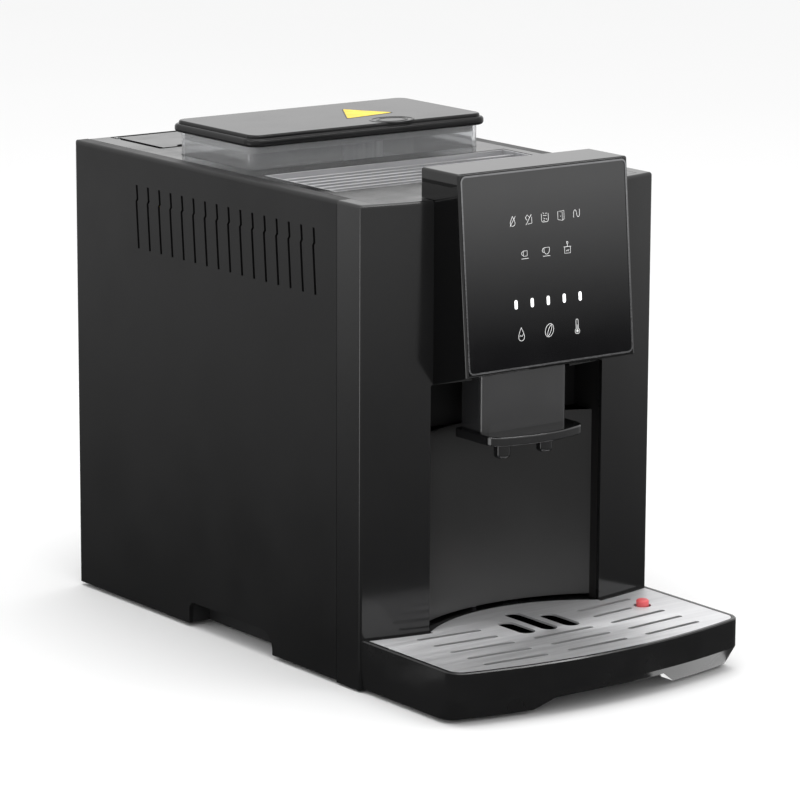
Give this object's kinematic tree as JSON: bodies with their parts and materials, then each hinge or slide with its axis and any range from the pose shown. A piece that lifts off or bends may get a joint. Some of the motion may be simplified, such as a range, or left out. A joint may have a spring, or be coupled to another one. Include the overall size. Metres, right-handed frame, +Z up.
{
  "type": "bean-to-cup coffee machine",
  "caption": "Countertop automatic coffee machine with touch panel head, height-adjustable twin outlet, pull-out drip tray, bean bin under a lift-off lid, and rear water tank.",
  "frame": {"origin": "centre of the whole machine's footprint, on the surface that it stands on", "axes": "+Z up, -Y towards the user, where the drip tray and the control head are, +X to the machine's service-door side"},
  "size_m": [0.25, 0.475, 0.3575],
  "materials": {
    "side_black": "satin black moulded ABS, fine texture",
    "front_gloss": "gloss black moulded front",
    "deck_black": "semi-gloss black deck",
    "bay_satin": "satin dark back panel",
    "black_structure": "matt black structural moulding",
    "tray_black": "satin black moulded tray",
    "lid_black": "semi-gloss black lid",
    "spout_grey": "dark grey satin cover",
    "nozzle_black": "gloss black",
    "knob_grey": "light grey knob",
    "float_red": "red indicator float",
    "grid_steel": "brushed stainless sheet",
    "shelf_metal": "brushed ribbed warming shelf",
    "bezel_metal": "thin bright trim",
    "black_glass": "opaque black printed glass",
    "smoked_clear": "smoked clear bean bin",
    "tank_clear": "clear smoked water tank",
    "pipe_clear": "silicone hose",
    "foot_rubber": "soft rubber feet",
    "seal_rubber": "translucent grey silicone seal",
    "steel_pin": "plain steel",
    "frame_grey": "grey glass-filled nylon",
    "brewer_plastic": "food-grade plastic",
    "grinder_alloy": "cast alloy housing",
    "burr_steel": "hardened burr",
    "motor_steel": "zinc-plated can",
    "boiler_alloy": "cast thermoblock",
    "valve_brass": "brass valve body",
    "circuit_board": "printed circuit board"
  },
  "bodies": {
    "casing": {"base_pan": "black_structure", "feet": "foot_rubber", "side_panel_left": "side_black", "side_panel_right": "side_black", "door_pins": "steel_pin", "magnet_strike": "steel_pin", "rear_panel": "side_black", "rear_screws": "steel_pin", "top_cover": "deck_black", "front_frame": "front_gloss", "bay_panel": "bay_satin", "spout_guide": "black_structure", "head_shell": "front_gloss", "head_bezel": "bezel_metal", "control_glass": "black_glass", "control_board": "circuit_board", "tray_runners": "black_structure", "cup_shelf": "shelf_metal", "hopper_bin": "smoked_clear", "tank_seat": "black_structure", "inner_frame": "frame_grey", "rear_bulkhead": "frame_grey", "grinder_body": "grinder_alloy", "grinder_motor": "motor_steel", "grounds_chute": "black_structure", "brew_frame": "frame_grey", "brew_chamber": "brewer_plastic", "upper_piston": "brewer_plastic", "brew_motor": "motor_steel", "grounds_shelf": "black_structure", "boiler": "boiler_alloy", "pump": "motor_steel", "flow_meter": "brewer_plastic", "valve_block": "valve_brass", "water_pipes": "pipe_clear", "coffee_pipe": "pipe_clear", "power_board": "circuit_board", "power_inlet": "black_structure", "switch_frame": "black_structure"},
    "hopper_lid": {"hopper_lid": "lid_black", "lid_seal": "seal_rubber"},
    "grind_knob": {"grind_knob": "knob_grey", "upper_burr": "burr_steel"},
    "grinder_burr": {"lower_burr": "burr_steel"},
    "spout": {"spout_cover": "spout_grey", "spout_body": "black_structure", "spout_nozzles": "nozzle_black"},
    "drip_tray": {"drip_tray": "tray_black"},
    "drip_grid": {"drip_grid": "grid_steel"},
    "tray_float": {"tray_float": "float_red"},
    "water_tank": {"water_tank": "tank_clear", "tank_valve": "black_structure", "tank_lid_pins": "steel_pin"},
    "tank_lid": {"tank_lid": "deck_black"},
    "service_door": {"service_door": "side_black", "door_magnet": "steel_pin"},
    "grounds_box": {"grounds_box": "tray_black"},
    "brew_piston": {"brew_piston": "brewer_plastic"},
    "brew_screw": {"brew_screw": "steel_pin"},
    "power_rocker": {"power_rocker": "nozzle_black"}
  },
  "joints": [
    {"name": "hopper_lid_lift", "type": "slide", "parent": "casing", "child": "hopper_lid", "axis": [0, 0, 1], "range_m": [0, 0.1]},
    {"name": "grind_setting", "type": "hinge", "parent": "casing", "child": "grind_knob", "pos_m": [0.025, 0.0885, 0.303], "axis": [0, 0, 1], "range_deg": [-90, 90]},
    {"name": "burr_spin", "type": "hinge", "parent": "casing", "child": "grinder_burr", "pos_m": [0.025, 0.0885, 0.233], "axis": [0, 0, 1], "continuous": true},
    {"name": "spout_height", "type": "slide", "parent": "casing", "child": "spout", "axis": [0, 0, 1], "range_m": [-0.035, 0.025]},
    {"name": "tray_slide", "type": "slide", "parent": "casing", "child": "drip_tray", "axis": [0, -1, 0], "range_m": [0, 0.17]},
    {"name": "grid_lift", "type": "slide", "parent": "drip_tray", "child": "drip_grid", "axis": [0, 0, 1], "range_m": [0, 0.05]},
    {"name": "float_rise", "type": "slide", "parent": "drip_tray", "child": "tray_float", "axis": [0, 0, 1], "range_m": [0, 0.006]},
    {"name": "tank_lift", "type": "slide", "parent": "casing", "child": "water_tank", "axis": [0, 0, 1], "range_m": [0, 0.205]},
    {"name": "tank_lid_hinge", "type": "hinge", "parent": "water_tank", "child": "tank_lid", "pos_m": [0, 0.2297, 0.3312], "axis": [-1, 0, 0], "range_deg": [0, 100]},
    {"name": "door_hinge", "type": "hinge", "parent": "casing", "child": "service_door", "pos_m": [0.1226, 0.0624, 0.138], "axis": [0, 0, 1], "range_deg": [0, 88]},
    {"name": "grounds_slide", "type": "slide", "parent": "casing", "child": "grounds_box", "axis": [1, 0, 0], "range_m": [0, 0.045]},
    {"name": "piston_rise", "type": "slide", "parent": "casing", "child": "brew_piston", "axis": [0, 0, 1], "range_m": [0, 0.03]},
    {"name": "screw_spin", "type": "hinge", "parent": "casing", "child": "brew_screw", "pos_m": [0.008, -0.0065, 0.173], "axis": [0, 0, 1], "range_deg": [0, 910]},
    {"name": "rocker_tilt", "type": "hinge", "parent": "casing", "child": "power_rocker", "pos_m": [-0.029, 0.2305, 0.048], "axis": [1, 0, 0], "range_deg": [0, 14]}
  ],
  "couplings": [
    {"joint": "grounds_slide", "follows": "door_hinge", "m_per_rad": 0.029169},
    {"joint": "screw_spin", "follows": "piston_rise", "rad_per_m": 523.6}
  ]
}
